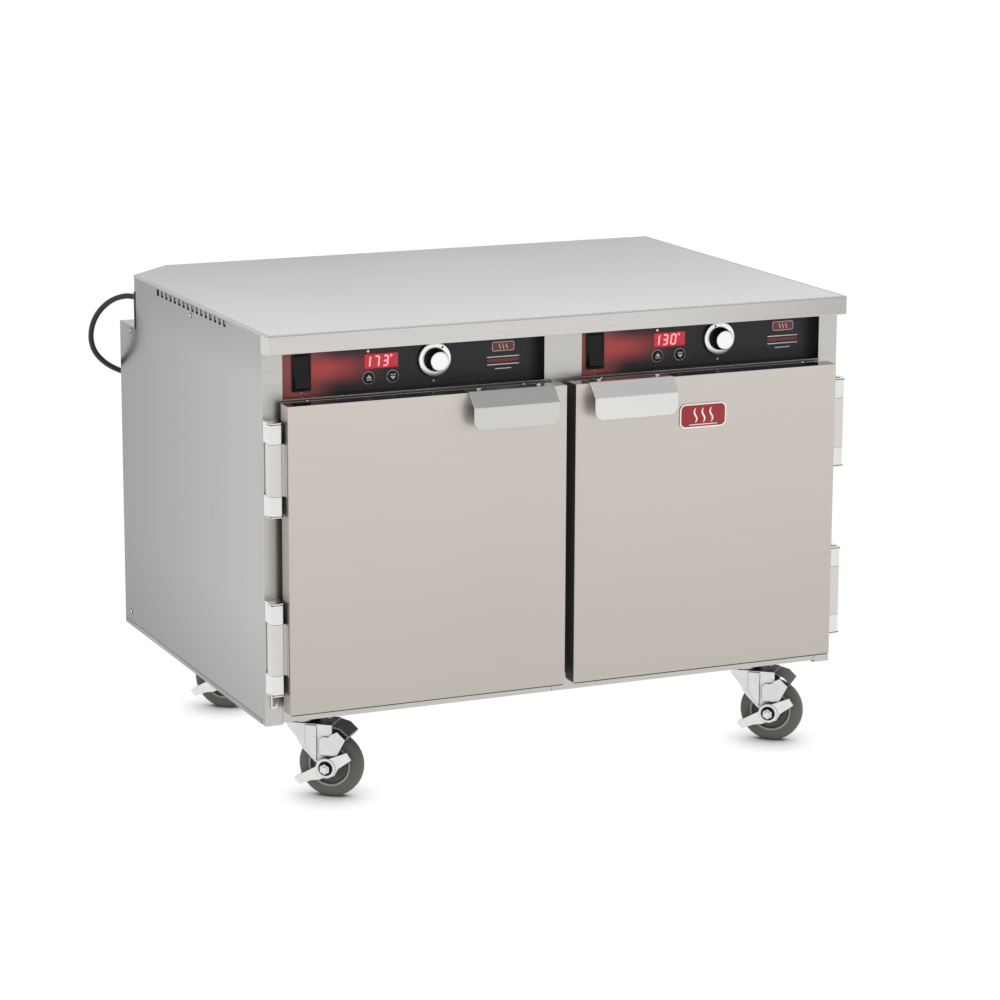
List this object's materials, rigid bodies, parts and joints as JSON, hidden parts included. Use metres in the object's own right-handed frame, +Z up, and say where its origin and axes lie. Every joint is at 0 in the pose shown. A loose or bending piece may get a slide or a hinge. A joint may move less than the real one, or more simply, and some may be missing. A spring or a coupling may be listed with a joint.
{
  "type": "food holding cabinet",
  "caption": "Low mobile heated holding cabinet with side-hinged insulated doors, recessed dial controls, a flat worktop and braked swivel casters.",
  "frame": {"origin": "floor level, at the middle of the cabinet's width and of its depth from handle faces to cord saddle", "axes": "+X to the right seen from the front, +Y towards the back panel, doors and controls face -Y, +Z up"},
  "size_m": [1.2563, 1.1584, 0.923],
  "materials": {
    "body_steel": "brushed, satin",
    "door_steel": "brushed, satin, slightly warm",
    "galvanised": "dull galvanised sheet",
    "chrome": "bright plated",
    "cast_steel": "plated, satin",
    "black_panel": "satin charcoal enamel",
    "black_plastic": "moulded, satin",
    "black_rubber": "matt",
    "tread": "matt grey-brown rubber",
    "sheathed": "heat-tinted sheath"
  },
  "bodies": {
    "cabinet": {"worktop": "body_steel", "casing": "body_steel", "front_frame": "body_steel", "base_frame": "galvanised", "left_liner": "galvanised", "right_liner": "galvanised", "left_rack": "chrome", "right_rack": "chrome", "left_heater": "sheathed", "right_heater": "sheathed", "left_control_panel": "black_panel", "right_control_panel": "black_panel", "left_upper_hinge_frame_leaf": "chrome", "left_lower_hinge_frame_leaf": "chrome", "right_upper_hinge_frame_leaf": "chrome", "right_lower_hinge_frame_leaf": "chrome", "front_left_caster_plate": "chrome", "front_right_caster_plate": "chrome", "rear_left_caster_plate": "chrome", "rear_right_caster_plate": "chrome", "cord_gland": "black_rubber", "cord_hook": "body_steel", "cord_lead": "black_rubber", "cord_coil": "black_rubber", "cord_plug": "black_rubber"},
    "left_door_leaf": {"left_door": "door_steel", "left_door_gasket": "black_rubber", "left_door_handle": "body_steel", "left_upper_hinge_door_leaf": "cast_steel", "left_lower_hinge_door_leaf": "cast_steel"},
    "right_door_leaf": {"right_door": "door_steel", "right_door_gasket": "black_rubber", "right_door_handle": "body_steel", "right_upper_hinge_door_leaf": "cast_steel", "right_lower_hinge_door_leaf": "cast_steel"},
    "left_knob": {"left_knob": "chrome"},
    "left_rocker": {"left_rocker": "black_plastic"},
    "left_up_button": {"left_up_button": "black_plastic"},
    "left_down_button": {"left_down_button": "black_plastic"},
    "right_knob": {"right_knob": "chrome"},
    "right_rocker": {"right_rocker": "black_plastic"},
    "right_up_button": {"right_up_button": "black_plastic"},
    "right_down_button": {"right_down_button": "black_plastic"},
    "front_left_caster_swivel": {"front_left_caster_fork": "chrome", "front_left_caster_axle": "chrome"},
    "front_left_caster_roller": {"front_left_caster_wheel": "tread"},
    "front_left_caster_pedal": {"front_left_caster_brake": "cast_steel"},
    "front_right_caster_swivel": {"front_right_caster_fork": "chrome", "front_right_caster_axle": "chrome"},
    "front_right_caster_roller": {"front_right_caster_wheel": "tread"},
    "front_right_caster_pedal": {"front_right_caster_brake": "cast_steel"},
    "rear_left_caster_swivel": {"rear_left_caster_fork": "chrome", "rear_left_caster_axle": "chrome"},
    "rear_left_caster_roller": {"rear_left_caster_wheel": "tread"},
    "rear_left_caster_pedal": {"rear_left_caster_brake": "cast_steel"},
    "rear_right_caster_swivel": {"rear_right_caster_fork": "chrome", "rear_right_caster_axle": "chrome"},
    "rear_right_caster_roller": {"rear_right_caster_wheel": "tread"},
    "rear_right_caster_pedal": {"rear_right_caster_brake": "cast_steel"}
  },
  "joints": [
    {"name": "left_door_hinge", "type": "hinge", "parent": "cabinet", "child": "left_door_leaf", "pos_m": [-0.59, -0.431, 0.503], "axis": [0, 0, -1], "range_deg": [0, 180]},
    {"name": "right_door_hinge", "type": "hinge", "parent": "cabinet", "child": "right_door_leaf", "pos_m": [0.59, -0.431, 0.503], "axis": [0, 0, 1], "range_deg": [0, 180]},
    {"name": "left_knob_turn", "type": "hinge", "parent": "cabinet", "child": "left_knob", "pos_m": [-0.247, -0.377, 0.847], "axis": [0, -1, 0], "range_deg": [-140, 140]},
    {"name": "left_rocker_tilt", "type": "hinge", "parent": "cabinet", "child": "left_rocker", "pos_m": [-0.5125, -0.377, 0.84], "axis": [1, 0, 0], "range_deg": [0, 14]},
    {"name": "left_up_button_press", "type": "slide", "parent": "cabinet", "child": "left_up_button", "axis": [0, 1, 0], "range_m": [0, 0.0012], "stiffness_N_per_m": 400},
    {"name": "left_down_button_press", "type": "slide", "parent": "cabinet", "child": "left_down_button", "axis": [0, 1, 0], "range_m": [0, 0.0012], "stiffness_N_per_m": 400},
    {"name": "right_knob_turn", "type": "hinge", "parent": "cabinet", "child": "right_knob", "pos_m": [0.353, -0.377, 0.847], "axis": [0, -1, 0], "range_deg": [-140, 140]},
    {"name": "right_rocker_tilt", "type": "hinge", "parent": "cabinet", "child": "right_rocker", "pos_m": [0.0875, -0.377, 0.84], "axis": [1, 0, 0], "range_deg": [0, 14]},
    {"name": "right_up_button_press", "type": "slide", "parent": "cabinet", "child": "right_up_button", "axis": [0, 1, 0], "range_m": [0, 0.0012], "stiffness_N_per_m": 400},
    {"name": "right_down_button_press", "type": "slide", "parent": "cabinet", "child": "right_down_button", "axis": [0, 1, 0], "range_m": [0, 0.0012], "stiffness_N_per_m": 400},
    {"name": "front_left_caster_swivel_turn", "type": "hinge", "parent": "cabinet", "child": "front_left_caster_swivel", "pos_m": [-0.478, -0.285, 0.15], "axis": [0, 0, 1], "continuous": true},
    {"name": "front_left_caster_wheel_spin", "type": "hinge", "parent": "front_left_caster_swivel", "child": "front_left_caster_roller", "pos_m": [-0.4351, -0.321, 0.0635], "axis": [0.6428, 0.766, 0], "continuous": true},
    {"name": "front_left_caster_brake_press", "type": "hinge", "parent": "front_left_caster_swivel", "child": "front_left_caster_pedal", "pos_m": [-0.4351, -0.321, 0.0635], "axis": [-0.6428, -0.766, 0], "range_deg": [0, 12]},
    {"name": "front_right_caster_swivel_turn", "type": "hinge", "parent": "cabinet", "child": "front_right_caster_swivel", "pos_m": [0.478, -0.285, 0.15], "axis": [0, 0, 1], "continuous": true},
    {"name": "front_right_caster_wheel_spin", "type": "hinge", "parent": "front_right_caster_swivel", "child": "front_right_caster_roller", "pos_m": [0.5209, -0.321, 0.0635], "axis": [0.6428, 0.766, 0], "continuous": true},
    {"name": "front_right_caster_brake_press", "type": "hinge", "parent": "front_right_caster_swivel", "child": "front_right_caster_pedal", "pos_m": [0.5209, -0.321, 0.0635], "axis": [-0.6428, -0.766, 0], "range_deg": [0, 12]},
    {"name": "rear_left_caster_swivel_turn", "type": "hinge", "parent": "cabinet", "child": "rear_left_caster_swivel", "pos_m": [-0.462, 0.374, 0.15], "axis": [0, 0, 1], "continuous": true},
    {"name": "rear_left_caster_wheel_spin", "type": "hinge", "parent": "rear_left_caster_swivel", "child": "rear_left_caster_roller", "pos_m": [-0.4191, 0.338, 0.0635], "axis": [0.6428, 0.766, 0], "continuous": true},
    {"name": "rear_left_caster_brake_press", "type": "hinge", "parent": "rear_left_caster_swivel", "child": "rear_left_caster_pedal", "pos_m": [-0.4191, 0.338, 0.0635], "axis": [-0.6428, -0.766, 0], "range_deg": [0, 12]},
    {"name": "rear_right_caster_swivel_turn", "type": "hinge", "parent": "cabinet", "child": "rear_right_caster_swivel", "pos_m": [0.462, 0.374, 0.15], "axis": [0, 0, 1], "continuous": true},
    {"name": "rear_right_caster_wheel_spin", "type": "hinge", "parent": "rear_right_caster_swivel", "child": "rear_right_caster_roller", "pos_m": [0.5049, 0.338, 0.0635], "axis": [0.6428, 0.766, 0], "continuous": true},
    {"name": "rear_right_caster_brake_press", "type": "hinge", "parent": "rear_right_caster_swivel", "child": "rear_right_caster_pedal", "pos_m": [0.5049, 0.338, 0.0635], "axis": [-0.6428, -0.766, 0], "range_deg": [0, 12]}
  ]
}
